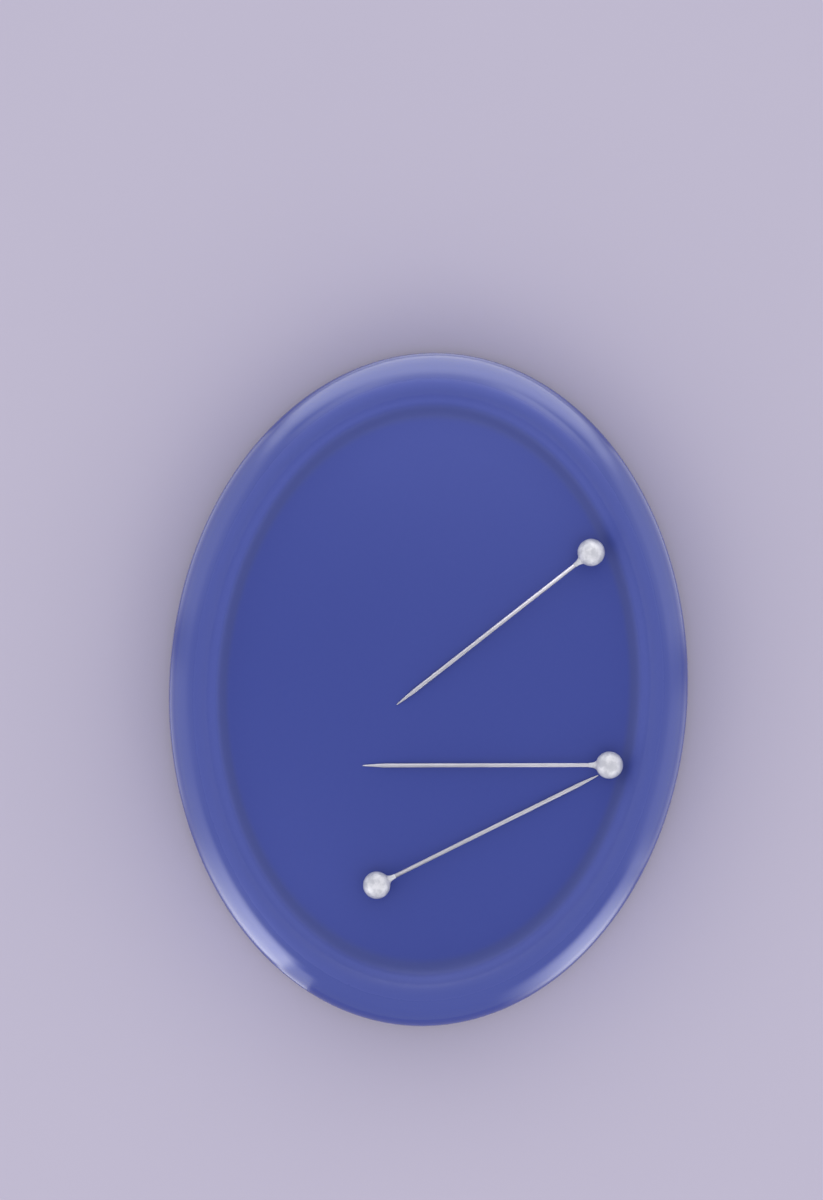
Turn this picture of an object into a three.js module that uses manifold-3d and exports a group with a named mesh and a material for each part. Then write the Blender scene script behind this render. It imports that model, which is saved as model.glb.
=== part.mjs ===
// A magnetic pin cushion that stands on a table: an oval plastic dish with a raised rim, two
// ferrite magnets and a steel keeper plate under its floor, a screwed base cover on four rubber
// feet, and three round-headed pins lying on the floor.
// Millimetres, +Z up, +Y along the dish, origin in the middle of the footprint at table height.
import * as THREE from "three";
import { mergeVertices } from "three/addons/utils/BufferGeometryUtils.js";
import Module from "manifold-3d";

const wasm = await Module();
wasm.setup();

// ---- Driving dimensions ----
const LENGTH = 98.6; // over the dish's lower edge, along Y
const WIDTH = 76; // the same along X
const HEIGHT = 19.5; // table to rim crest
const DEPTH = 3.5; // rim crest down to the floor
const WALL = 2; // moulded wall thickness
const GAP = 0.3; // clearance between pieces that are assembled together
const REST_GAP = 0.05; // clearance under a pin that lies on the floor
const SINK = 0.5; // how far a rib or boss reaches into the wall it grows from

// The rim's section, measured outwards from the line where the flat floor ends.
const RIM_ALONG = 9.5; // rim width at the two ends of the oval
const RIM_ACROSS = 8.65; // rim width at its two sides
const RIM = 9.1; // nominal rim width, which is scaled to the two above
const INNER_SLOPE = 56; // degrees that the inner wall rises
const TOP_SLOPE = 4; // degrees that the top falls from the crest to the outer edge
const DRAFT = 1; // degrees that the skirt leans in towards its top
const FLOOR_FILLET = 2.2;
const CREST_RADIUS = 2.4;
const EDGE_RADIUS = 3.3;
const LOWER_EDGE_RADIUS = 0.5;
const HOLLOW_RADIUS = EDGE_RADIUS - WALL; // the outer edge seen from inside the rim

const FLOOR_TOP = HEIGHT - DEPTH;
const FLOOR_UNDER = FLOOR_TOP - WALL;
const SKIRT_END = 1.2; // table to the skirt's lower edge

const MAGNET = { width: 40, length: 25, thick: 6 };
const POCKET = { wall: 1.2, depth: 6 }; // ribs around the magnets
const KEEPER_THICK = 1;
const MAGNET_TOP = FLOOR_UNDER - GAP;
const KEEPER_TOP = MAGNET_TOP - MAGNET.thick - GAP;

const COVER_UNDER = SKIRT_END + 0.2; // the cover sits just inside the skirt's edge
const COVER_THICK = 2;
const COVER_TOP = COVER_UNDER + COVER_THICK;
const RIB = { thick: 1.2, top: KEEPER_TOP - KEEPER_THICK - GAP }; // ribs under the keeper plate
const RIBS_ALONG = { offset: 11, length: 42 };
const RIBS_ACROSS = { offset: 14, length: 32 };

// The screws stand on the two axes of the oval.
const SCREWS = {
  screw_front: [0, -36],
  screw_rear: [0, 36],
  screw_left: [-28, 0],
  screw_right: [28, 0],
};
const SCREW_HEAD = { radius: 2.7, height: 1.5, flat: 1.9, edge: 0.4 };
const SCREW_SHANK = { radius: 1.3, length: 9, point: 1.6 };
const CROSS = { width: 0.8, length: 3, depth: 0.8 }; // driver recess
const RECESS = { radius: 3.1, depth: 2 }; // hole in the cover that takes a screw's head
const SEAT = { radius: 4.1, thick: 1.6 }; // plastic around and above that hole
const BOSS_RADIUS = 3.2;
const SEAT_TOP = COVER_UNDER + RECESS.depth + SEAT.thick;
const BOSS_END = SEAT_TOP + GAP;
const PILOT = { radius: SCREW_SHANK.radius + GAP, depth: 8.2 };

const FEET = {
  foot_front_left: [-21, -27],
  foot_front_right: [21, -27],
  foot_rear_left: [-21, 27],
  foot_rear_right: [21, 27],
};
const FOOT = { radius: 4.5, flat: 3.8, edge: 0.6, seatDepth: 0.8 };

// The pins: where head and point stand over the floor.
const PINS = {
  pin_1: { head: [22.68, 21.06], point: [-4.5, -2.43] },
  pin_2: { head: [26.8, -9.7], point: [-9.02, -11.51] },
  pin_3: { head: [-6.16, -28.76], point: [25.26, -11.3] },
};
const HEAD_RADIUS = 2;
const SHANK_RADIUS = 0.3;
const POINT = { radius: 0.06, length: 3.2 }; // the tapered stretch
const NECK = { radius: 1, end: 0.42, length: 1 }; // small cone where the shank leaves the head
const SHANK_IN_HEAD = 1.2; // how far the wire runs past the head's centre
const BORE_GAP = 0.06; // wire to head

// ---- Facets ----
const OVAL_STEPS = 72;
const ARC_STEP = 18; // degrees of a rounded corner for each facet
const ROUND_STEPS = 24;

// ---- Joining and cutting ----
function solid(geometry) {
  const bare = geometry.index ? geometry.toNonIndexed() : geometry.clone();
  bare.deleteAttribute("normal");
  bare.deleteAttribute("uv");
  const merged = mergeVertices(bare);
  return new wasm.Manifold(
    new wasm.Mesh({
      numProp: 3,
      vertProperties: new Float32Array(merged.attributes.position.array),
      triVerts: new Uint32Array(merged.index.array),
    }),
  );
}

function geometryOf(manifold) {
  const { vertProperties, triVerts } = manifold.getMesh();
  const geometry = new THREE.BufferGeometry();
  geometry.setAttribute("position", new THREE.BufferAttribute(vertProperties, 3));
  geometry.setIndex(new THREE.BufferAttribute(triVerts, 1));
  geometry.computeVertexNormals();
  return geometry;
}

// ---- Simple shapes ----
function block(width, length, low, high, x = 0, y = 0) {
  const box = new THREE.BoxGeometry(width, length, high - low);
  return solid(box.translate(x, y, (low + high) / 2));
}

function rod(radius, low, high, x = 0, y = 0) {
  const cylinder = new THREE.CylinderGeometry(radius, radius, high - low, ROUND_STEPS);
  return solid(cylinder.rotateX(Math.PI / 2).translate(x, y, (low + high) / 2));
}

// A solid of revolution about Z from points of [radius, height], from the lowest up.
function turned(...points) {
  const profile = points.map(([radius, height]) => new THREE.Vector2(radius, height));
  return solid(new THREE.LatheGeometry(profile, ROUND_STEPS).rotateX(Math.PI / 2));
}

// ---- Oval shapes, described by their section ----
// A section's x is the distance out from the end of the flat floor, and its y is the height.

// A straight face of the section: a point on it and the way it runs, in degrees. The plastic is
// on its left, and inwards moves it that way.
function face(x, height, degrees, inwards = 0) {
  const angle = THREE.MathUtils.degToRad(degrees);
  const along = new THREE.Vector2(Math.cos(angle), Math.sin(angle));
  const left = new THREE.Vector2(-along.y, along.x);
  return { point: new THREE.Vector2(x, height).addScaledVector(left, inwards), along };
}

const level = (height) => face(0, height, 0);

// The corner where two faces meet.
function meet(a, b) {
  const distance = b.point.clone().sub(a.point).cross(b.along) / a.along.cross(b.along);
  return a.point.clone().addScaledVector(a.along, distance);
}

// The section's first or last point, on the middle axis of the oval.
const AXIS = -LENGTH;
const middle = (height) => ({ at: new THREE.Vector2(AXIS, height) });

// A line through the corners, each { at, radius } rounded by an arc.
function roundedLine(corners) {
  return corners.flatMap(({ at, radius = 0 }, i) => {
    if (!radius) return [at];
    const back = corners[i - 1].at.clone().sub(at).normalize();
    const on = corners[i + 1].at.clone().sub(at).normalize();
    const half = Math.acos(back.dot(on)) / 2;
    const toCentre = back.clone().add(on).setLength(radius / Math.sin(half));
    const centre = at.clone().add(toCentre);
    const start = at.clone().addScaledVector(back, radius / Math.tan(half));
    const turn = (2 * half - Math.PI) * Math.sign(back.cross(on));
    const steps = Math.ceil(Math.abs(turn) / THREE.MathUtils.degToRad(ARC_STEP));
    return Array.from({ length: steps + 1 }, (_, k) =>
      start.clone().rotateAround(centre, (turn * k) / steps),
    );
  });
}

function ovalRing({ x, y: height }) {
  if (x === AXIS) return [[0, 0, height]];
  const a = WIDTH / 2 + ((x - RIM) * RIM_ACROSS) / RIM;
  const b = LENGTH / 2 + ((x - RIM) * RIM_ALONG) / RIM;
  return Array.from({ length: OVAL_STEPS }, (_, k) => {
    const turn = (2 * Math.PI * k) / OVAL_STEPS;
    return [a * Math.cos(turn), b * Math.sin(turn), height];
  });
}

// The solid inside a section that runs from the middle axis out, up and back to the axis.
function ovalSolid(corners) {
  const rings = roundedLine(corners).map(ovalRing);
  const at = (ring, k) => ring[k % ring.length];
  const corner = [];
  rings.slice(1).forEach((upper, i) => {
    const lower = rings[i];
    for (let k = 0; k < OVAL_STEPS; k++) {
      if (lower.length > 1) corner.push(at(lower, k), at(lower, k + 1), at(upper, k));
      if (upper.length > 1) corner.push(at(lower, k + 1), at(upper, k + 1), at(upper, k));
    }
  });
  const geometry = new THREE.BufferGeometry();
  geometry.setAttribute("position", new THREE.Float32BufferAttribute(corner.flat(), 3));
  return solid(geometry);
}

// The four faces of the rim. The crest's arc tops out at HEIGHT, so its corner is a bit above,
// and the floor's fillet ends at x = 0, so its corner is a bit further out.
function rimFaces(inwards = 0) {
  const half = (degrees) => THREE.MathUtils.degToRad(degrees / 2);
  const lean = Math.cos(half(INNER_SLOPE - TOP_SLOPE)) / Math.cos(half(INNER_SLOPE + TOP_SLOPE));
  const corner = FLOOR_FILLET * Math.tan(half(INNER_SLOPE));
  const wall = (offset) => face(corner, FLOOR_TOP, 180 + INNER_SLOPE, offset);
  const crest = meet(wall(0), level(HEIGHT + CREST_RADIUS * (lean - 1)));
  return {
    side: face(RIM, SKIRT_END + LOWER_EDGE_RADIUS, 90 + DRAFT, inwards),
    top: face(crest.x, crest.y, 180 - TOP_SLOPE, inwards),
    wall: wall(inwards),
    floor: face(0, FLOOR_TOP, 180, inwards),
  };
}

// ---- Pieces ----
function dishShell() {
  const outer = rimFaces();
  const inner = rimFaces(WALL);
  const body = ovalSolid([
    middle(SKIRT_END),
    { at: meet(level(SKIRT_END), outer.side), radius: LOWER_EDGE_RADIUS },
    { at: meet(outer.side, outer.top), radius: EDGE_RADIUS },
    { at: meet(outer.top, outer.wall), radius: CREST_RADIUS },
    { at: meet(outer.wall, outer.floor), radius: FLOOR_FILLET },
    middle(FLOOR_TOP),
  ]);
  const hollow = ovalSolid([
    middle(0),
    { at: meet(level(0), inner.side) },
    { at: meet(inner.side, inner.top), radius: HOLLOW_RADIUS },
    { at: meet(inner.top, inner.wall) },
    { at: meet(inner.wall, inner.floor) },
    middle(FLOOR_UNDER),
  ]);
  let shell = body.subtract(hollow).add(magnetPocket());
  for (const [x, y] of Object.values(SCREWS))
    shell = shell
      .add(rod(BOSS_RADIUS, BOSS_END, FLOOR_TOP - SINK, x, y))
      .subtract(rod(PILOT.radius, BOSS_END - GAP, BOSS_END + PILOT.depth, x, y));
  return shell;
}

function magnetPocket() {
  const width = MAGNET.width + 2 * GAP;
  const length = 2 * MAGNET.length + 3 * GAP;
  const low = FLOOR_UNDER - POCKET.depth;
  const ribs = block(width + 2 * POCKET.wall, length + 2 * POCKET.wall, low, FLOOR_UNDER + SINK);
  return ribs.subtract(block(width, length, low - GAP, FLOOR_UNDER));
}

function magnet() {
  return block(MAGNET.width, MAGNET.length, MAGNET_TOP - MAGNET.thick, MAGNET_TOP);
}

function keeperPlate() {
  const length = 2 * MAGNET.length + GAP;
  return block(MAGNET.width, length, KEEPER_TOP - KEEPER_THICK, KEEPER_TOP);
}

function baseCover() {
  const { side } = rimFaces(WALL + GAP);
  let cover = ovalSolid([
    middle(COVER_UNDER),
    { at: meet(level(COVER_UNDER), side) },
    { at: meet(level(COVER_TOP), side) },
    middle(COVER_TOP),
  ]);
  for (const end of [-1, 1]) {
    const across = [RIBS_ACROSS.length, RIB.thick, COVER_TOP - SINK, RIB.top];
    const along = [RIB.thick, RIBS_ALONG.length, COVER_TOP - SINK, RIB.top];
    cover = cover
      .add(block(...across, 0, end * RIBS_ACROSS.offset))
      .add(block(...along, end * RIBS_ALONG.offset, 0));
  }
  for (const [x, y] of Object.values(SCREWS))
    cover = cover
      .add(rod(SEAT.radius, COVER_TOP - SINK, SEAT_TOP, x, y))
      .subtract(rod(RECESS.radius, 0, COVER_UNDER + RECESS.depth, x, y))
      .subtract(rod(PILOT.radius, 0, BOSS_END, x, y));
  for (const [x, y] of Object.values(FEET))
    cover = cover.subtract(rod(FOOT.radius + GAP, 0, COVER_UNDER + FOOT.seatDepth, x, y));
  return cover;
}

// A pan-head screw, upside down: the head is at the bottom, and z = 0 is the face it bears on.
function screw() {
  const { radius, height, flat, edge } = SCREW_HEAD;
  const body = turned(
    [0, -height],
    [flat, -height],
    [radius, edge - height],
    [radius, 0],
    [SCREW_SHANK.radius, 0],
    [SCREW_SHANK.radius, SCREW_SHANK.length - SCREW_SHANK.point],
    [0, SCREW_SHANK.length],
  );
  const cross = block(CROSS.length, CROSS.width, -height - GAP, CROSS.depth - height).add(
    block(CROSS.width, CROSS.length, -height - GAP, CROSS.depth - height),
  );
  return body.subtract(cross);
}

function foot() {
  const top = COVER_UNDER + FOOT.seatDepth - GAP;
  return turned([0, 0], [FOOT.flat, 0], [FOOT.radius, FOOT.edge], [FOOT.radius, top], [0, top]);
}

// Head and shank share a frame: the head's centre is the origin and the point is down at -Z.
function pinHead() {
  const sphere = new THREE.SphereGeometry(HEAD_RADIUS, ROUND_STEPS, ROUND_STEPS / 2);
  const ball = solid(sphere.rotateX(Math.PI / 2));
  const low = -HEAD_RADIUS - NECK.length;
  const high = SINK - HEAD_RADIUS;
  const neck = turned([0, low], [NECK.end, low], [NECK.radius, high], [0, high]);
  const bore = rod(SHANK_RADIUS + BORE_GAP, low - GAP, SHANK_IN_HEAD + BORE_GAP);
  return ball.add(neck).subtract(bore);
}

function pinShank(length) {
  return turned(
    [0, -length],
    [POINT.radius, -length],
    [SHANK_RADIUS, POINT.length - length],
    [SHANK_RADIUS, SHANK_IN_HEAD],
    [0, SHANK_IN_HEAD],
  );
}

// ---- Assembly ----
const plastic = { roughness: 0.2, metalness: 0 };
const finishes = {
  blue: new THREE.MeshStandardMaterial({ color: 0x3e4b9e, ...plastic }),
  cover: new THREE.MeshStandardMaterial({ color: 0x36428c, roughness: 0.45, metalness: 0 }),
  ferrite: new THREE.MeshStandardMaterial({ color: 0x2c2c2e, roughness: 0.7, metalness: 0 }),
  steel: new THREE.MeshStandardMaterial({ color: 0xb9bbc0, roughness: 0.35, metalness: 1 }),
  rubber: new THREE.MeshStandardMaterial({ color: 0x2a2a2c, roughness: 0.8, metalness: 0 }),
  pearl: new THREE.MeshStandardMaterial({ color: 0xe9e8ee, ...plastic }),
};

const cushion = new THREE.Group();

function place(name, shape, finish, [x, y, z] = [0, 0, 0], parent = cushion) {
  const mesh = new THREE.Mesh(geometryOf(shape), finishes[finish]);
  mesh.name = name;
  mesh.position.set(x, y, z);
  parent.add(mesh);
}

place("dish_shell", dishShell(), "blue");
place("base_cover", baseCover(), "cover");

const magnetOffset = (MAGNET.length + GAP) / 2;
place("magnet_front", magnet(), "ferrite", [0, -magnetOffset, 0]);
place("magnet_rear", magnet(), "ferrite", [0, magnetOffset, 0]);
place("keeper_plate", keeperPlate(), "steel");

const screwFace = COVER_UNDER + RECESS.depth - GAP;
for (const [name, [x, y]] of Object.entries(SCREWS)) place(name, screw(), "steel", [x, y, screwFace]);
for (const [name, [x, y]] of Object.entries(FEET)) place(name, foot(), "rubber", [x, y, 0]);

for (const [name, pin] of Object.entries(PINS)) {
  const headCentre = new THREE.Vector3(...pin.head, FLOOR_TOP + REST_GAP + HEAD_RADIUS);
  const toPoint = new THREE.Vector3(...pin.point, FLOOR_TOP + REST_GAP + POINT.radius).sub(headCentre);
  const group = new THREE.Group();
  group.position.copy(headCentre);
  group.quaternion.setFromUnitVectors(new THREE.Vector3(0, 0, -1), toPoint.clone().normalize());
  place(`${name}_head`, pinHead(), "pearl", [0, 0, 0], group);
  place(`${name}_shank`, pinShank(toPoint.length()), "steel", [0, 0, 0], group);
  cushion.add(group);
}

export default cushion;
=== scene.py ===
"""Looks for a magnetic pin cushion: an oval plastic dish with three pearl-headed pins."""
from math import acos, ceil, cos, pi, radians, sin, tan

import bmesh
import bpy
from mathutils import Matrix, Vector


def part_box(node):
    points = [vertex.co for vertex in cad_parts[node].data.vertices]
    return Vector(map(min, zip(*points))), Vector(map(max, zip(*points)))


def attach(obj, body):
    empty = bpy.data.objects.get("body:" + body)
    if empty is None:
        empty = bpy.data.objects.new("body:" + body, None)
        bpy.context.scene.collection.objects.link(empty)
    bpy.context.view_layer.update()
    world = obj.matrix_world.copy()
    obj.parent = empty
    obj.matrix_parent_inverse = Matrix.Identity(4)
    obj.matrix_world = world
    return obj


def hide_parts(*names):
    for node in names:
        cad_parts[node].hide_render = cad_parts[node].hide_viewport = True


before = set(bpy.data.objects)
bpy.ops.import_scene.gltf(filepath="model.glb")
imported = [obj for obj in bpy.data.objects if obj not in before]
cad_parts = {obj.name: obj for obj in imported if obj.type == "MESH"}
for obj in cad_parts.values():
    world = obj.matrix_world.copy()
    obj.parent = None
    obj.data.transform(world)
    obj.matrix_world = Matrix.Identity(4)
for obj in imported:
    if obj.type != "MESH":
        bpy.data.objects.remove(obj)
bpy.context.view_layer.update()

MM = 0.001  # lengths and meshes are in millimetres, and finished() scales each mesh to metres
ROOT = "cushion"

# ---- The dish's size, from the frame, and its section, as in the CAD ----
dish_low, dish_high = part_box("dish_shell")
WIDTH = (dish_high.x - dish_low.x) / MM
LENGTH = (dish_high.y - dish_low.y) / MM
HEIGHT = dish_high.z / MM
SKIRT_END = dish_low.z / MM
DEPTH = 3.5
WALL = 2
GAP = 0.3
REST_GAP = 0.05
RIM_ALONG, RIM_ACROSS, RIM = 9.5, 8.65, 9.1
INNER_SLOPE, TOP_SLOPE, DRAFT = 56, 4, 1
FLOOR_FILLET, CREST_RADIUS, EDGE_RADIUS = 2.2, 2.4, 3.3
LOWER_EDGE_RADIUS, INNER_EDGE_RADIUS = 0.5, 0.2
HOLLOW_RADIUS = EDGE_RADIUS - WALL
FLOOR_TOP = HEIGHT - DEPTH
FLOOR_UNDER = FLOOR_TOP - WALL

# ---- What is under the dish, as in the CAD ----
MAGNET = {"width": 40, "length": 25, "thick": 6}
MAGNET_TOP = FLOOR_UNDER - GAP
KEEPER_THICK = 1
KEEPER_TOP = MAGNET_TOP - MAGNET["thick"] - GAP
POCKET = {"wall": 1.2, "depth": 6}
COVER = {"recess": 0.2, "thick": 2, "lower_edge": 0.3, "upper_edge": 0.2}
COVER_UNDER = SKIRT_END + COVER["recess"]
COVER_TOP = COVER_UNDER + COVER["thick"]
RIB = {"thick": 1.2, "top": KEEPER_TOP - KEEPER_THICK - GAP}
RIBS_ALONG = {"offset": 11, "length": 42}
RIBS_ACROSS = {"offset": 14, "length": 32}

SCREWS = {
    "screw_front": (0, -36),
    "screw_rear": (0, 36),
    "screw_left": (-28, 0),
    "screw_right": (28, 0),
}
SCREW_HEAD = {"radius": 2.7, "height": 1.5, "dome": 0.45, "crown": 1.6}
SCREW_SHANK = {"radius": 1.3, "length": 9, "point": 1.6}
THREAD = {"pitch": 1.1, "depth": 0.32, "steps": 10}
CROSS = {"width": 0.8, "length": 3, "depth": 0.8}
RECESS = {"radius": 3.1, "depth": 2}
SEAT = {"radius": 4.1, "thick": 1.6, "chamfer": 0.2}
SEAT_TOP = COVER_UNDER + RECESS["depth"] + SEAT["thick"]
BOSS_RADIUS = 3.2
BOSS_END = SEAT_TOP + GAP
PILOT = {"radius": SCREW_SHANK["radius"] + GAP, "depth": 8.2}

FEET = {
    "foot_front_left": (-21, -27),
    "foot_front_right": (21, -27),
    "foot_rear_left": (-21, 27),
    "foot_rear_right": (21, 27),
}
FOOT = {"radius": 4.5, "flat": 3.8, "edge": 0.6, "seat_depth": 0.8, "chamfer": 0.15}
DIMPLE = {"radius": 1.4, "depth": 0.3, "dish": 0.05, "slope": 0.4}

# ---- The pins: where head and point stand over the floor ----
PINS = {
    "pin_1": ((22.68, 21.06), (-4.5, -2.43)),
    "pin_2": ((26.8, -9.7), (-9.02, -11.51)),
    "pin_3": ((-6.16, -28.76), (25.26, -11.3)),
}
HEAD_RADIUS = 2
SHANK_RADIUS = 0.3
POINT = {"radius": 0.06, "length": 3.2}
NECK = {
    "end": 0.335,
    "length": 1,
    "meets": 23,  # degrees off the ball's pole
    "curve": ([0.35, -2.5], [0.44, -2.02]),  # the middle points of its outline's curve
    "steps": 12,
}
SHANK_IN_HEAD = 1.2
BORE_GAP = 0.02
PLACE_IN_PIN = "place_in_pin"

# ---- Fineness ----
OVAL_STEPS = 256
ARC_STEP = 5  # degrees
ROUND_STEPS = 64
SINK = 0.5  # how far a rib or boss reaches into the wall it grows from


# ---- Meshes ----
def mesh_object(name, vertices, faces):
    mesh = bpy.data.meshes.new(name)
    mesh.from_pydata(vertices, [], faces)
    mesh.update()
    piece = bpy.data.objects.new(name, mesh)
    bpy.context.scene.collection.objects.link(piece)
    return piece


def smooth(piece, sharp_angle=40):
    for polygon in piece.data.polygons:
        polygon.use_smooth = True
    piece.data.set_sharp_from_angle(angle=radians(sharp_angle))
    return piece


def applied(piece):
    """The piece with its modifiers made part of its mesh."""
    graph = bpy.context.evaluated_depsgraph_get()
    mesh = bpy.data.meshes.new_from_object(piece.evaluated_get(graph))
    piece.modifiers.clear()
    piece.data = mesh
    return piece


def welded(piece, gap=0.001):
    """The piece with its points merged where they lie closer than this gap."""
    shape = bmesh.new()
    shape.from_mesh(piece.data)
    bmesh.ops.remove_doubles(shape, verts=shape.verts, dist=gap)
    bmesh.ops.dissolve_degenerate(shape, edges=shape.edges, dist=gap)
    shape.to_mesh(piece.data)
    shape.free()
    return piece


def boolean(piece, other, operation):
    modifier = piece.modifiers.new("boolean", "BOOLEAN")
    modifier.operation = operation
    modifier.object = other
    bpy.context.view_layer.update()
    welded(applied(piece))
    bpy.data.objects.remove(other)
    return piece


def joined(piece, other):
    return boolean(piece, other, "UNION")


def cut(piece, other):
    return boolean(piece, other, "DIFFERENCE")


def loft(name, rings):
    """A mesh through rings of points. A ring of one point is a pole."""
    vertices, starts = [], []
    for ring in rings:
        starts.append(len(vertices))
        vertices += ring
    faces = []
    for i, (lower, upper) in enumerate(zip(rings, rings[1:])):
        steps = max(len(lower), len(upper))
        for k in range(steps):
            low = [starts[i] + j % len(lower) for j in (k, k + 1)]
            high = [starts[i + 1] + j % len(upper) for j in (k + 1, k)]
            faces.append(list(dict.fromkeys(low + high)))
    return mesh_object(name, vertices, faces)


def circle(radius, height, x=0, y=0, steps=ROUND_STEPS):
    if not radius:
        return [(x, y, height)]
    turns = [2 * pi * k / steps for k in range(steps)]
    return [(x + radius * cos(t), y + radius * sin(t), height) for t in turns]


def turned(name, profile, x=0, y=0):
    """A solid of revolution about an upright axis, from (radius, height) points, lowest first."""
    return loft(name, [circle(radius, height, x, y) for radius, height in profile])


def moved(piece, x, y, z):
    piece.data.transform(Matrix.Translation((x, y, z)))
    return piece


def rectangle(width, length, height, x=0, y=0):
    corners = [(1, 1), (-1, 1), (-1, -1), (1, -1)]
    return [(x + i * width / 2, y + j * length / 2, height) for i, j in corners]


def block(name, width, length, low, high, x=0, y=0):
    sides = [rectangle(width, length, height, x, y) for height in (low, high)]
    return loft(name, [[(x, y, low)], *sides, [(x, y, high)]])


def bevelled(piece, width, segments=3):
    modifier = piece.modifiers.new("bevel", "BEVEL")
    modifier.width = width
    modifier.segments = segments
    modifier.limit_method = "ANGLE"
    return applied(piece)


# ---- Sections: a point's x is its distance out from the flat floor's end, its y the height ----
def face(x, height, degrees, inwards=0):
    """A straight face: a point on it, moved to its left by inwards, and the way it runs."""
    along = Vector((cos(radians(degrees)), sin(radians(degrees))))
    return Vector((x, height)) + inwards * Vector((-along.y, along.x)), along


def level(height):
    return face(0, height, 0)


def cross(a, b):
    return a.x * b.y - a.y * b.x


def meet(a, b):
    """The corner where two faces meet."""
    return a[0] + a[1] * cross(b[0] - a[0], b[1]) / cross(a[1], b[1])


def rounded_line(corners):
    """A line through (point, radius) corners, each rounded by an arc."""
    line = []
    for i, (at, radius) in enumerate(corners):
        if not radius:
            line.append(at)
            continue
        back = (corners[i - 1][0] - at).normalized()
        on = (corners[i + 1][0] - at).normalized()
        half = acos(max(-1, min(1, back.dot(on)))) / 2
        centre = at + (back + on).normalized() * radius / sin(half)
        start = at + back * radius / tan(half)
        turn = (2 * half - pi) * (1 if cross(back, on) > 0 else -1)
        steps = ceil(abs(turn) / radians(ARC_STEP))
        for k in range(steps + 1):
            line.append(centre + Matrix.Rotation(turn * k / steps, 2) @ (start - centre))
    return line


AXIS = -100
FLOOR_RINGS = (-1, -3, -6, -12, -20, -28)  # extra rings on the flat floor, which keep it flat


def middle(height):
    """The section's first or last corner, on the middle axis of the oval."""
    return Vector((AXIS, height)), 0


def half_axes(x):
    """The oval at a distance out from the flat floor's end: half its width and half its length."""
    return WIDTH / 2 + (x - RIM) * RIM_ACROSS / RIM, LENGTH / 2 + (x - RIM) * RIM_ALONG / RIM


def oval_ring(point):
    if point.x == AXIS:
        return [(0, 0, point.y)]
    a, b = half_axes(point.x)
    turns = [2 * pi * k / OVAL_STEPS for k in range(OVAL_STEPS)]
    return [(a * cos(t), b * sin(t), point.y) for t in turns]


def oval_piece(name, corners):
    return loft(name, [oval_ring(p) for p in rounded_line(corners)])


def rim_faces(inwards=0):
    def half(degrees):
        return radians(degrees / 2)

    lean = cos(half(INNER_SLOPE - TOP_SLOPE)) / cos(half(INNER_SLOPE + TOP_SLOPE))
    corner = FLOOR_FILLET * tan(half(INNER_SLOPE))

    def wall(offset):
        return face(corner, FLOOR_TOP, 180 + INNER_SLOPE, offset)

    crest = meet(wall(0), level(HEIGHT + CREST_RADIUS * (lean - 1)))
    return {
        "side": face(RIM, SKIRT_END + LOWER_EDGE_RADIUS, 90 + DRAFT, inwards),
        "top": face(crest.x, crest.y, 180 - TOP_SLOPE, inwards),
        "wall": wall(inwards),
        "floor": face(0, FLOOR_TOP, 180, inwards),
    }


# ---- Materials ----
class Nodes:
    """A node tree and short ways to add nodes to it."""

    def __init__(self, tree):
        self.tree = tree

    def node(self, kind, **settings):
        made = self.tree.nodes.new("ShaderNode" + kind)
        for key, value in settings.items():
            setattr(made, key, value)
        return made

    def link(self, output, socket):
        self.tree.links.new(output, socket)

    def ranged(self, value, low, high, start=0.0, end=1.0):
        made = self.node("MapRange", interpolation_type="SMOOTHSTEP")
        self.link(value, made.inputs["Value"])
        for key, number in zip(("From Min", "From Max", "To Min", "To Max"), (start, end, low, high)):
            made.inputs[key].default_value = number
        return made.outputs["Result"]

    def maths(self, operation, first, second):
        made = self.node("Math", operation=operation)
        for socket, value in zip(made.inputs, (first, second)):
            if isinstance(value, (int, float)):
                socket.default_value = value
            else:
                self.link(value, socket)
        return made.outputs["Value"]


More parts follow.
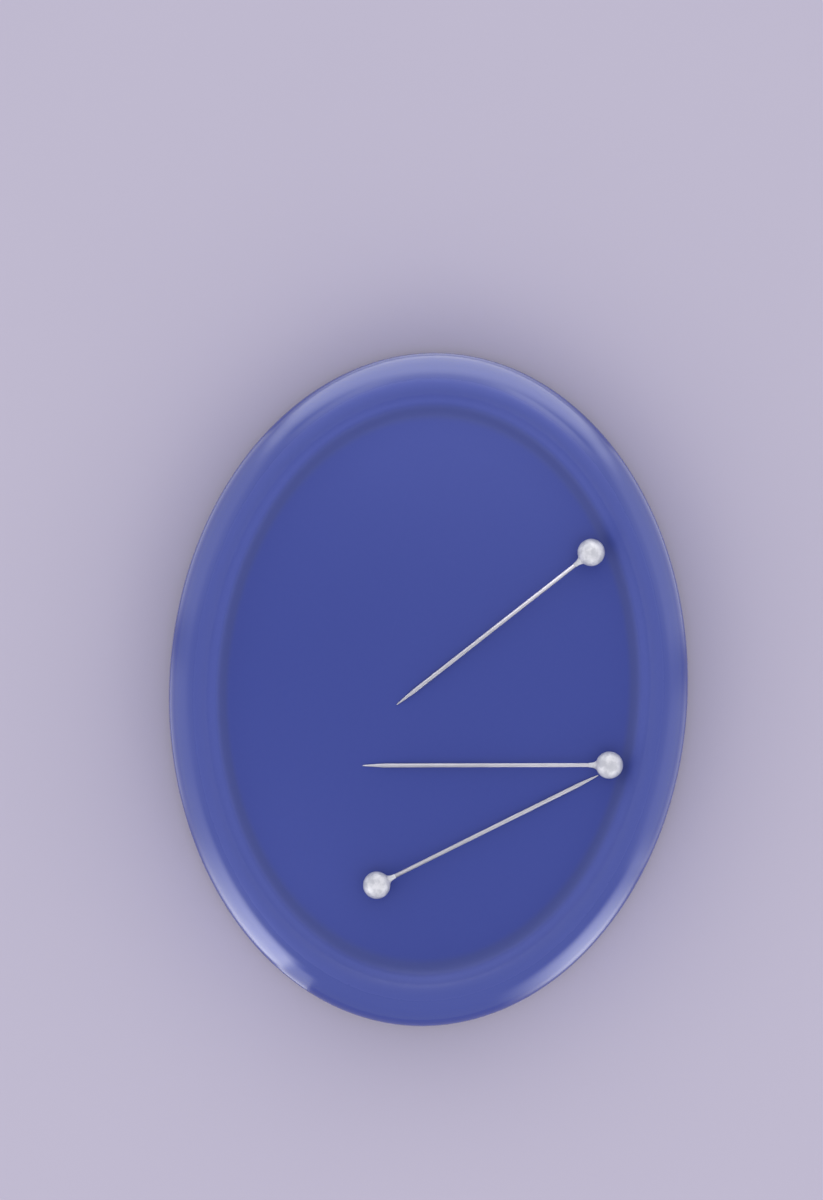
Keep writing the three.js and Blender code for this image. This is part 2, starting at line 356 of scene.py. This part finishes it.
class Material(Nodes):
    """A Principled material, with its textures, colours and bumps."""

    def __init__(self, name, **inputs):
        self.material = bpy.data.materials.new(name)
        self.material.use_nodes = True
        super().__init__(self.material.node_tree)
        self.shader = self.tree.nodes["Principled BSDF"]
        for key, value in inputs.items():
            self.shader.inputs[key.replace("_", " ")].default_value = value
        self.place = self.node("TexCoord").outputs["Object"]

    def stretched(self, scale, turn=0):
        """The place in the piece, turned about Z by degrees and scaled along each axis."""
        mapping = self.node("Mapping", vector_type="TEXTURE")
        mapping.inputs["Rotation"].default_value = (0, 0, radians(turn))
        mapping.inputs["Scale"].default_value = [1 / s for s in scale]
        self.link(self.place, mapping.inputs["Vector"])
        return mapping.outputs["Vector"]

    def noise(self, scale, detail=2.0, place=None, roughness=0.5):
        """Noise with this many cells to the metre, or to the unit of the place given."""
        made = self.node("TexNoise")
        made.inputs["Scale"].default_value = scale
        made.inputs["Detail"].default_value = detail
        made.inputs["Roughness"].default_value = roughness
        self.link(place or self.place, made.inputs["Vector"])
        return made.outputs["Fac"]

    def mixed(self, factor, first, second):
        """A mix of two colours, each a triple or another node's output."""
        made = self.node("Mix", data_type="RGBA")
        self.link(factor, made.inputs["Factor"])
        for socket, colour in (("A", first), ("B", second)):
            if isinstance(colour, tuple):
                made.inputs[socket].default_value = (*colour, 1)
            else:
                self.link(colour, made.inputs[socket])
        return made.outputs["Result"]

    def colour(self, factor, first, second):
        self.link(self.mixed(factor, first, second), self.shader.inputs["Base Color"])

    def roughness(self, value, low, high, start=0.3, end=0.7):
        self.link(self.ranged(value, low, high, start, end), self.shader.inputs["Roughness"])

    def bump(self, *layers):
        """Bump from (height output, millimetres) layers, one on the other."""
        normal = None
        for height, depth in layers:
            made = self.node("Bump")
            made.inputs["Strength"].default_value = 1
            made.inputs["Distance"].default_value = depth * MM
            self.link(height, made.inputs["Height"])
            if normal:
                self.link(normal, made.inputs["Normal"])
            normal = made.outputs["Normal"]
        self.link(normal, self.shader.inputs["Normal"])


def oval_distance(m, x):
    """How far out a point lies, as a share of the oval at a distance x out from the flat floor."""
    a, b = half_axes(x)
    length = m.node("VectorMath", operation="LENGTH")
    m.link(m.stretched((1 / (a * MM), 1 / (b * MM), 1e-6)), length.inputs[0])
    return length.outputs["Value"]


def hairlines(m, turn):
    """Fine straight scratches, as 0 to 1."""
    lines = m.noise(1, 2, m.stretched((18, 2600, 2600), turn))
    return m.ranged(lines, 0, 1, 0.66, 0.74)


def dish_plastic():
    """Gloss on the rim and skirt, and a satin moulded texture inside the crest.

    Its blue is painted in bands from the floor outwards as light and shade: a painted shade ring in the
    floor's corner, a wall painted lighter, then the rim.
    Each band starts and ends at shares of the oval near the floor's corner or near the crest.
    """
    m = Material("blue_dish_plastic", IOR=1.5)
    corner, crest = oval_distance(m, 0.5), oval_distance(m, 4.2)
    wall = m.ranged(corner, 0, 1, 0.995, 1.05)
    rim = m.ranged(crest, 0, 1, 0.946, 0.985)
    # Painted shade: a darker, greyer ring of blue where the floor meets the wall.
    shade_ring_start = m.ranged(corner, 0, 0.85, 0.965, 0.995)
    shade_ring_end = m.ranged(corner, 1, 0, 1.01, 1.045)
    painted_shade_ring = m.maths("MULTIPLY", shade_ring_start, shade_ring_end)
    mottle = m.noise(55, 3)
    # One plastic painted as lit and shaded copies to stand in for light and shade: the wall painted
    # lighter, the floor darker and the rim between.
    floor_blue = m.mixed(mottle, (0.0155, 0.033, 0.240), (0.0175, 0.036, 0.250))
    wall_blue_painted_light = m.mixed(mottle, (0.069, 0.094, 0.362), (0.074, 0.100, 0.377))
    rim_blue = m.mixed(mottle, (0.037, 0.057, 0.280), (0.041, 0.061, 0.293))
    blue = m.mixed(rim, m.mixed(wall, floor_blue, wall_blue_painted_light), rim_blue)
    m.colour(painted_shade_ring, blue, (0.026, 0.041, 0.205))
    crossed = m.maths("MAXIMUM", hairlines(m, -41), hairlines(m, 78))
    scratches = m.maths("MAXIMUM", hairlines(m, 24), crossed)
    worn = m.maths("MULTIPLY", scratches, 0.08)
    satin = m.maths("SUBTRACT", m.ranged(m.noise(1400, 3), 0.50, 0.60), worn)
    gloss = m.ranged(m.noise(420, 4), 0.13, 0.20)
    polish = m.ranged(crest, 0, 1, 0.995, 1.04)
    mix = m.node("Mix", data_type="FLOAT")
    for socket, value in (("Factor", polish), ("A", satin), ("B", gloss)):
        m.link(value, mix.inputs[socket])
    m.link(mix.outputs["Result"], m.shader.inputs["Roughness"])
    grain = m.maths("MULTIPLY", m.noise(3200, 2), m.ranged(rim, 1, 0.1))
    m.bump((m.noise(230, 1), 0.005), (grain, 0.006))
    return m.material


def cover_plastic():
    m = Material("blue_cover_plastic", IOR=1.5)
    m.colour(m.noise(80, 3), (0.031, 0.045, 0.225), (0.036, 0.052, 0.250))
    m.roughness(m.noise(1500, 4), 0.42, 0.56)
    m.bump((m.noise(300, 2), 0.01), (m.noise(2600, 3), 0.025))
    return m.material


def pearl():
    m = Material("pearl", IOR=1.5, Coat_Weight=0.5, Coat_Roughness=0.22, Coat_IOR=1.45)
    swirl = m.ranged(m.noise(760, 4, roughness=0.6), 0, 1, 0.36, 0.64)
    pearly = m.mixed(swirl, (0.50, 0.495, 0.525), (0.70, 0.685, 0.705))
    # Painted reflection and shade: the ball's edges, as the camera sees them, are painted darker and
    # bluer, as if they reflected the blue dish.
    painted_edge_reflection = m.node("LayerWeight").outputs["Facing"]
    m.colour(m.ranged(painted_edge_reflection, 0, 0.75, 0.5, 0.95), pearly, (0.33, 0.34, 0.44))
    m.roughness(swirl, 0.34, 0.46)
    m.bump((m.noise(700, 2), 0.008))
    return m.material


def pin_steel():
    """Nickel-plated wire, with its drawing lines along it."""
    m = Material("nickel_pin_steel", Metallic=1.0)
    m.place = m.node("Attribute", attribute_name=PLACE_IN_PIN).outputs["Vector"]
    drawn = m.noise(1, 3, m.stretched((5200, 5200, 160)))
    m.colour(m.noise(500, 3), (0.39, 0.38, 0.41), (0.47, 0.455, 0.485))
    m.roughness(drawn, 0.50, 0.62)
    m.bump((drawn, 0.004))
    return m.material


def zinc_steel():
    m = Material("zinc_plated_steel", Metallic=1.0)
    m.colour(m.noise(300, 4), (0.50, 0.51, 0.53), (0.64, 0.65, 0.66))
    m.roughness(m.noise(1500, 4), 0.25, 0.42)
    m.bump((m.noise(3000, 3), 0.006))
    return m.material


def keeper_steel():
    """Cold-rolled plate, with its rolling lines along Y."""
    m = Material("rolled_steel", Metallic=1.0)
    rolled = m.noise(1, 4, m.stretched((1800, 60, 1800)))
    m.colour(rolled, (0.44, 0.44, 0.45), (0.58, 0.58, 0.59))
    m.roughness(rolled, 0.28, 0.5)
    m.bump((rolled, 0.008))
    return m.material


def ferrite():
    m = Material("ferrite", IOR=1.6)
    ground = m.noise(1, 3, m.stretched((2400, 90, 2400)))
    m.colour(m.noise(1500, 5), (0.022, 0.022, 0.024), (0.050, 0.049, 0.050))
    m.roughness(m.noise(2500, 4), 0.5, 0.8)
    m.bump((ground, 0.01), (m.noise(3500, 5), 0.03))
    return m.material


def foot_rubber():
    m = Material("foot_rubber", IOR=1.5)
    m.colour(m.noise(900, 4), (0.018, 0.018, 0.020), (0.036, 0.035, 0.037))
    m.roughness(m.noise(2000, 4), 0.6, 0.85)
    m.bump((m.noise(4000, 4), 0.02))
    return m.material


# ---- Pieces ----
def finished(piece, material, body, slot, *nodes):
    piece.data.transform(Matrix.Scale(MM, 4))
    piece.data.materials.clear()
    piece.data.materials.append(material)
    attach(piece, body)
    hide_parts(*nodes)
    return piece


def magnet_pocket():
    """The ribs around the magnets, as a rectangular tube that reaches into the floor."""
    width = MAGNET["width"] + 2 * GAP
    length = 2 * MAGNET["length"] + 3 * GAP
    low, high = FLOOR_UNDER - POCKET["depth"], FLOOR_UNDER + SINK

    def ring(wall, height):
        return rectangle(width + 2 * wall, length + 2 * wall, height)

    out = POCKET["wall"]
    tube = [ring(out, low), ring(out, high), ring(0, high), ring(0, low), ring(out, low)]
    return welded(loft("pocket", tube))


def screw_boss(x, y):
    """A boss under the floor, with a small fillet where it grows from it."""
    fillet, chamfer = 0.5, 0.2
    profile = [
        (0, BOSS_END),
        (BOSS_RADIUS - chamfer, BOSS_END),
        (BOSS_RADIUS, BOSS_END + chamfer),
        (BOSS_RADIUS, FLOOR_UNDER - fillet),
        (BOSS_RADIUS + fillet, FLOOR_UNDER + SINK),
        (0, FLOOR_UNDER + SINK),
    ]
    return turned("boss", profile, x, y)


def pilot_cutter(x, y):
    low, high, radius = BOSS_END - GAP, BOSS_END + PILOT["depth"], PILOT["radius"]
    return turned("pilot", [(0, low), (radius, low), (radius, high), (0, high)], x, y)


def make_dish(material):
    outer, inner = rim_faces(), rim_faces(WALL)
    section = rounded_line(
        [
            middle(FLOOR_UNDER),
            (meet(inner["floor"], inner["wall"]), 0),
            (meet(inner["wall"], inner["top"]), 0),
            (meet(inner["top"], inner["side"]), HOLLOW_RADIUS),
            (meet(inner["side"], level(SKIRT_END)), INNER_EDGE_RADIUS),
            (meet(level(SKIRT_END), outer["side"]), LOWER_EDGE_RADIUS),
            (meet(outer["side"], outer["top"]), EDGE_RADIUS),
            (meet(outer["top"], outer["wall"]), CREST_RADIUS),
            (meet(outer["wall"], outer["floor"]), FLOOR_FILLET),
            *[(Vector((x, FLOOR_TOP)), 0) for x in FLOOR_RINGS],
            middle(FLOOR_TOP),
        ]
    )
    dish = joined(loft("dish", [oval_ring(p) for p in section]), magnet_pocket())
    for x, y in SCREWS.values():
        joined(dish, screw_boss(x, y))
        cut(dish, pilot_cutter(x, y))
    smooth(dish)
    finished(dish, material, ROOT, "blue_plastic", "dish_shell")


def screw_seat(x, y):
    """The raised ring of the cover that a screw clamps to its boss."""
    radius, chamfer, low = SEAT["radius"], SEAT["chamfer"], COVER_TOP - SINK
    profile = [
        (0, low),
        (radius, low),
        (radius, SEAT_TOP - chamfer),
        (radius - chamfer, SEAT_TOP),
        (0, SEAT_TOP),
    ]
    return turned("seat", profile, x, y)


def recess_cutter(x, y):
    """The stepped hole of a screw: a chamfered recess for its head and a hole for its shank."""
    mouth, end = COVER_UNDER, COVER_UNDER + RECESS["depth"]
    radius, chamfer, shank = RECESS["radius"], 0.25, PILOT["radius"]
    profile = [
        (0, 0),
        (radius + chamfer, 0),
        (radius + chamfer, mouth),
        (radius, mouth + chamfer),
        (radius, end),
        (shank, end),
        (shank, BOSS_END),
        (0, BOSS_END),
    ]
    return turned("recess", profile, x, y)


def shallow_mark(radius, depth, x, y):
    high = COVER_UNDER + depth
    return turned("mark", [(0, 0), (radius + depth, 0), (radius, high), (0, high)], x, y)


EJECTOR_MARKS = {"radius": 2.5, "depth": 0.12, "places": [(-12, -27), (12, -27), (-12, 27), (12, 27)]}
GATE_MARK = {"radius": 1.6, "depth": 0.3}


def make_cover(material):
    side = rim_faces(WALL + GAP)["side"]
    cover = oval_piece(
        "base_plate",
        [
            middle(COVER_UNDER),
            (meet(level(COVER_UNDER), side), COVER["lower_edge"]),
            (meet(level(COVER_TOP), side), COVER["upper_edge"]),
            middle(COVER_TOP),
        ],
    )
    for end in (-1, 1):
        low, high = COVER_TOP - SINK, RIB["top"]
        along, across = RIBS_ALONG, RIBS_ACROSS
        joined(cover, block("rib", across["length"], RIB["thick"], low, high, 0, end * across["offset"]))
        joined(cover, block("rib", RIB["thick"], along["length"], low, high, end * along["offset"], 0))
    for x, y in SCREWS.values():
        joined(cover, screw_seat(x, y))
        cut(cover, recess_cutter(x, y))
    for x, y in FEET.values():
        cut(cover, shallow_mark(FOOT["radius"] + GAP, FOOT["seat_depth"], x, y))
    for x, y in EJECTOR_MARKS["places"]:
        cut(cover, shallow_mark(EJECTOR_MARKS["radius"], EJECTOR_MARKS["depth"], x, y))
    cut(cover, shallow_mark(GATE_MARK["radius"], GATE_MARK["depth"], 0, 0))
    smooth(cover, 30)
    finished(cover, material, ROOT, "cover_plastic", "base_cover")


def make_magnet(node, y, material):
    low = MAGNET_TOP - MAGNET["thick"]
    magnet = block(node + "_bar", MAGNET["width"], MAGNET["length"], low, MAGNET_TOP, 0, y)
    smooth(bevelled(magnet, 0.5), 30)
    finished(magnet, material, ROOT, "ferrite", node)


def make_keeper(material):
    length = 2 * MAGNET["length"] + GAP
    plate = block("keeper", MAGNET["width"], length, KEEPER_TOP - KEEPER_THICK, KEEPER_TOP)
    smooth(bevelled(plate, 0.15), 30)
    finished(plate, material, ROOT, "zinc_steel", "keeper_plate")


def threaded_rings():
    """A self-tapping shank, as rings whose radius follows the thread's helix round the axis."""
    length, point = SCREW_SHANK["length"], SCREW_SHANK["point"]
    core = SCREW_SHANK["radius"] - THREAD["depth"]
    rows = ceil(length / THREAD["pitch"] * THREAD["steps"])
    turns = [2 * pi * k / ROUND_STEPS for k in range(ROUND_STEPS)]

    def radius(turn, height):
        phase = (height / THREAD["pitch"] - turn / (2 * pi)) % 1
        ridge = max(0, 1 - 4 * abs(phase - 0.5)) * THREAD["depth"]
        run_in = min(1, height / THREAD["pitch"])
        return (core + ridge * run_in) * min(1, (length - height) / point)

    def ring(height):
        radii = [radius(t, height) for t in turns]
        return [(r * cos(t), r * sin(t), height) for r, t in zip(radii, turns)]

    return [*[ring(row * length / rows) for row in range(rows)], [(0, 0, length)]]


def make_screw(node, x, y, material):
    """A pan-head screw, upside down: z = 0 is the face that it bears on."""
    radius, height, crown = SCREW_HEAD["radius"], SCREW_HEAD["height"], SCREW_HEAD["crown"]
    dome = [(0, -height)]
    for degrees in range(6, 91, 6):
        t = radians(degrees)
        spread = (1 - SCREW_HEAD["dome"]) * t * 2 / pi + SCREW_HEAD["dome"] * sin(t)
        dome.append((radius * spread, -height * (1 - (1 - cos(t)) ** crown)))
    screw = loft(node + "_pan", [circle(r, z) for r, z in dome] + threaded_rings())
    for width, length in ((CROSS["width"], CROSS["length"]), (CROSS["length"], CROSS["width"])):
        cut(screw, block("cross", width, length, -height - GAP, CROSS["depth"] - height))
    smooth(moved(screw, x, y, COVER_UNDER + RECESS["depth"] - GAP), 35)
    finished(screw, material, ROOT, "zinc_steel", node)


def make_foot(node, x, y, material):
    top = COVER_UNDER + FOOT["seat_depth"] - GAP
    radius, flat, edge = FOOT["radius"], FOOT["flat"], FOOT["edge"]
    dimple, depth, chamfer = DIMPLE["radius"], DIMPLE["depth"], FOOT["chamfer"]
    profile = [(0, depth), (dimple, depth - DIMPLE["dish"]), (dimple + DIMPLE["slope"], 0)]
    for degrees in range(0, 91, 15):
        t = radians(degrees)
        profile.append((flat + (radius - flat) * sin(t), edge * (1 - cos(t))))
    profile += [(radius, top - chamfer), (radius - chamfer, top), (0, top)]
    foot = turned(node + "_pad", profile)
    smooth(moved(foot, x, y, 0), 35)
    finished(foot, material, ROOT, "foot_rubber", node)


# ---- Pins: each piece is made with the head's centre at the origin and the point down -Z ----
def pin_place(head, point):
    """The pin's place as a matrix, and its length from the head's centre to its point."""
    centre = Vector((*head, FLOOR_TOP + REST_GAP + HEAD_RADIUS))
    to_point = Vector((*point, FLOOR_TOP + REST_GAP + POINT["radius"])) - centre
    turn = Vector((0, 0, -1)).rotation_difference(to_point)
    return Matrix.Translation(centre) @ turn.to_matrix().to_4x4(), to_point.length


def bezier(a, b, c, d, steps):
    """Points along a cubic curve from a to d."""

    def at(t):
        return [
            (1 - t) ** 3 * p + 3 * (1 - t) ** 2 * t * q + 3 * (1 - t) * t * t * r + t ** 3 * s
            for p, q, r, s in zip(a, b, c, d)
        ]

    return [at(step / steps) for step in range(steps + 1)]


def pin_head(name):
    """A ball with a neck that flares into it, bored for the wire."""
    bore = SHANK_RADIUS + BORE_GAP
    low = -HEAD_RADIUS - NECK["length"]
    meets = radians(NECK["meets"])
    ball = [HEAD_RADIUS * sin(meets), -HEAD_RADIUS * cos(meets)]
    flare = bezier([NECK["end"], low], *NECK["curve"], ball, NECK["steps"])
    bore_end = SHANK_IN_HEAD + BORE_GAP
    profile = [(0, bore_end), (bore, bore_end), (bore, low)] + flare
    steps = 28
    for k in range(1, steps + 1):
        t = meets + (pi - meets) * k / steps
        profile.append((HEAD_RADIUS * sin(t) if k < steps else 0, -HEAD_RADIUS * cos(t)))
    return smooth(turned(name, profile), 50)


def pin_shank(name, length):
    """Drawn wire that a slightly convex taper brings to its point."""
    profile = [(0, -length)]
    steps, convexity = 12, 0.75
    for k in range(steps + 1):
        t = k / steps
        radius = POINT["radius"] + (SHANK_RADIUS - POINT["radius"]) * t ** convexity
        profile.append((radius, -length + POINT["length"] * t))
    end, chamfer = SHANK_IN_HEAD, 0.05
    profile += [(SHANK_RADIUS, end - chamfer), (SHANK_RADIUS - chamfer, end), (0, end)]
    return smooth(turned(name, profile), 50)


def keep_place(piece):
    """Stores each point's place in the pin's own frame, in metres, for the lines drawn along it."""
    kept = piece.data.attributes.new(PLACE_IN_PIN, "FLOAT_VECTOR", "POINT")
    for vertex, entry in zip(piece.data.vertices, kept.data):
        entry.vector = vertex.co * MM


def make_pin(pin, head, point, head_material, shank_material):
    place, length = pin_place(head, point)
    ball, wire = pin_head(pin + "_ball"), pin_shank(pin + "_wire", length)
    for piece in (ball, wire):
        keep_place(piece)
        piece.data.transform(place)
    finished(ball, head_material, pin, "pearl", pin + "_head")
    finished(wire, shank_material, pin, "pin_steel", pin + "_shank")


make_dish(dish_plastic())
make_cover(cover_plastic())
magnet_black = ferrite()
magnet_offset = (MAGNET["length"] + GAP) / 2
make_magnet("magnet_front", -magnet_offset, magnet_black)
make_magnet("magnet_rear", magnet_offset, magnet_black)
make_keeper(keeper_steel())
steel, rubber = zinc_steel(), foot_rubber()
for name, (x, y) in SCREWS.items():
    make_screw(name, x, y, steel)
for name, (x, y) in FEET.items():
    make_foot(name, x, y, rubber)
ball_finish, wire_finish = pearl(), pin_steel()
for name, (head, point) in PINS.items():
    make_pin(name, head, point, ball_finish, wire_finish)


# ---- Floor, light and camera ----
def make_floor():
    half = 4000
    corners = [(-half, -half, 0), (half, -half, 0), (half, half, 0), (-half, half, 0)]
    floor = mesh_object("floor", corners, [(0, 1, 2, 3)])
    floor.data.transform(Matrix.Scale(MM, 4))
    m = Material("pale_floor", Roughness=0.7, Specular_IOR_Level=0.0)
    m.colour(m.noise(12, 3), (0.50, 0.457, 0.560), (0.53, 0.482, 0.580))
    floor.data.materials.append(m.material)


def panel(name, centre, target, width, height, radiance, shows_in="gloss"):
    """A soft box of this radiance that faces its target, in millimetres."""
    light = bpy.data.lights.new(name, "AREA")
    light.shape = "RECTANGLE"
    light.size, light.size_y = width * MM, height * MM
    light.energy = radiance * pi * light.size * light.size_y
    lamp = bpy.data.objects.new(name, light)
    way = Vector(centre) - Vector(target)
    lamp.location = Vector(centre) * MM
    lamp.rotation_mode = "QUATERNION"
    lamp.rotation_quaternion = way.to_track_quat("Z", "Y")
    lamp.visible_camera = False
    lamp.visible_diffuse = shows_in == "diffuse"
    lamp.visible_glossy = shows_in == "gloss"
    bpy.context.scene.collection.objects.link(lamp)
    return light


def fade(light, across, up):
    """Fades a soft box near its edges: the share of it that each fade takes, at either end."""
    light.use_nodes = True
    n = Nodes(light.node_tree)
    place = n.node("SeparateXYZ")
    n.link(n.node("NewGeometry").outputs["Parametric"], place.inputs[0])
    strength = 1
    for value, (low, high) in ((place.outputs["X"], across), (place.outputs["Y"], up)):
        if low:
            strength = n.maths("MULTIPLY", strength, n.ranged(value, 0, 1, 0, low))
        if high:
            strength = n.maths("MULTIPLY", strength, n.ranged(value, 1, 0, 1 - high, 1))
    n.link(strength, n.tree.nodes["Emission"].inputs["Strength"])


# Soft boxes close to the rim. Each covers the part of the rim that faces from one azimuth to
# another. Its foot and its head are each a distance off the rim and a height. Then come its
# radiance, and the shares of it that fade at its two sides and at its foot and head.
RIM_PANELS = {
    "rear_foot": ((38, 142), (9, 1), (12, 10), 1.2, (0.1, 0.1), (0, 0)),
    "rear": ((35, 145), (12, 10.5), (-5, 56), 4.3, (0.2, 0.2), (0, 0.65)),
    "right_top": ((38, 80), (6, 44), (-5, 56), 3, (0.4, 0.4), (0.4, 0.5)),
    "left_top": ((100, 142), (6, 44), (-5, 56), 1.8, (0.4, 0.4), (0.4, 0.5)),
    "right_rear": ((2, 45), (11, 1), (-3, 56), 1.35, (0.25, 0.1), (0.1, 0.5)),
    "right": ((333, 368), (11, 1), (-2, 54), 1.1, (0.1, 0.3), (0.2, 0.6)),
    "right_front": ((293, 343), (13, 1), (6, 42), 5.6, (0.44, 0.56), (0.35, 0.45)),
    "left_rear": ((135, 178), (11, 1), (-3, 56), 1.2, (0.1, 0.25), (0.1, 0.5)),
    "left": ((172, 205), (11, 1), (-2, 54), 1.1, (0.3, 0.3), (0.1, 0.6)),
    "left_front": ((193, 234.5), (13, 1), (1, 53), 7.2, (0.92, 0.09), (0.3, 0.5)),
    "left_front_end": ((230, 240), (11, 1), (9, 38), 2.4, (0.15, 0.1), (0.1, 0.3)),
}


def compass(azimuth):
    return Vector((cos(radians(azimuth)), sin(radians(azimuth)), 0))


def rim_point(out):
    """The point of the dish's outline that faces this way."""
    a, b = WIDTH / 2, LENGTH / 2
    return Vector((a * a * out.x, b * b * out.y, 0)) / Vector((a * out.x, b * out.y)).length


def rim_panel(name, azimuths, foot, head, radiance, across_fade, up_fade):
    """A soft box beside the rim, as wide as the rim's reflections between two azimuths spread."""
    out = compass(sum(azimuths) / 2)
    across = Vector((-out.y, out.x, 0))
    plane = rim_point(out).dot(out) + (foot[0] + head[0]) / 2
    sides = []
    for azimuth in azimuths:
        point, way = rim_point(compass(azimuth)), compass(azimuth)
        sides.append((point + way * (plane - point.dot(out)) / way.dot(out)).dot(across))
    middle_line = out * rim_point(out).dot(out) + across * (sides[0] + sides[1]) / 2
    low, high = (middle_line + out * off + Vector((0, 0, height)) for off, height in (foot, head))
    lean = high - low
    away = out * lean.z - Vector((0, 0, lean.dot(out)))
    centre = (low + high) / 2
    light = panel(name, centre, centre - away, sides[1] - sides[0], lean.length, radiance)
    fade(light, across_fade, up_fade)


def make_world(colour, strength):
    world = bpy.data.worlds.new("studio")
    world.use_nodes = True
    background = world.node_tree.nodes["Background"]
    background.inputs["Color"].default_value = (*colour, 1)
    background.inputs["Strength"].default_value = strength
    bpy.context.scene.world = world


CAMERA_DISTANCE = 2.0
FRAME_HEIGHT = 0.17467  # metres of the pins' plane that the frame's height takes in
ROLL = radians(2.75)
AIM = Vector((-2.47, 13.03)) * MM  # where the camera looks, from the dish's middle, in its own axes


def make_camera():
    camera = bpy.data.cameras.new("camera")
    camera.sensor_width = 36
    camera.lens = camera.sensor_width * CAMERA_DISTANCE / FRAME_HEIGHT
    camera.clip_end = 20
    holder = bpy.data.objects.new("camera", camera)
    aim = Matrix.Rotation(ROLL, 2) @ AIM
    holder.location = (aim.x, aim.y, FLOOR_TOP * MM + CAMERA_DISTANCE)
    holder.rotation_euler = (0, 0, ROLL)
    bpy.context.scene.collection.objects.link(holder)
    bpy.context.scene.camera = holder


make_floor()
panel("key", (0, -350, 850), (0, 0, FLOOR_TOP), 900, 500, 0.9, "diffuse")
for name, settings in RIM_PANELS.items():
    rim_panel("gloss_" + name, *settings)
make_world((0.92, 0.94, 1.0), 1.0)
make_camera()
bpy.context.scene.view_settings.view_transform = "Standard"
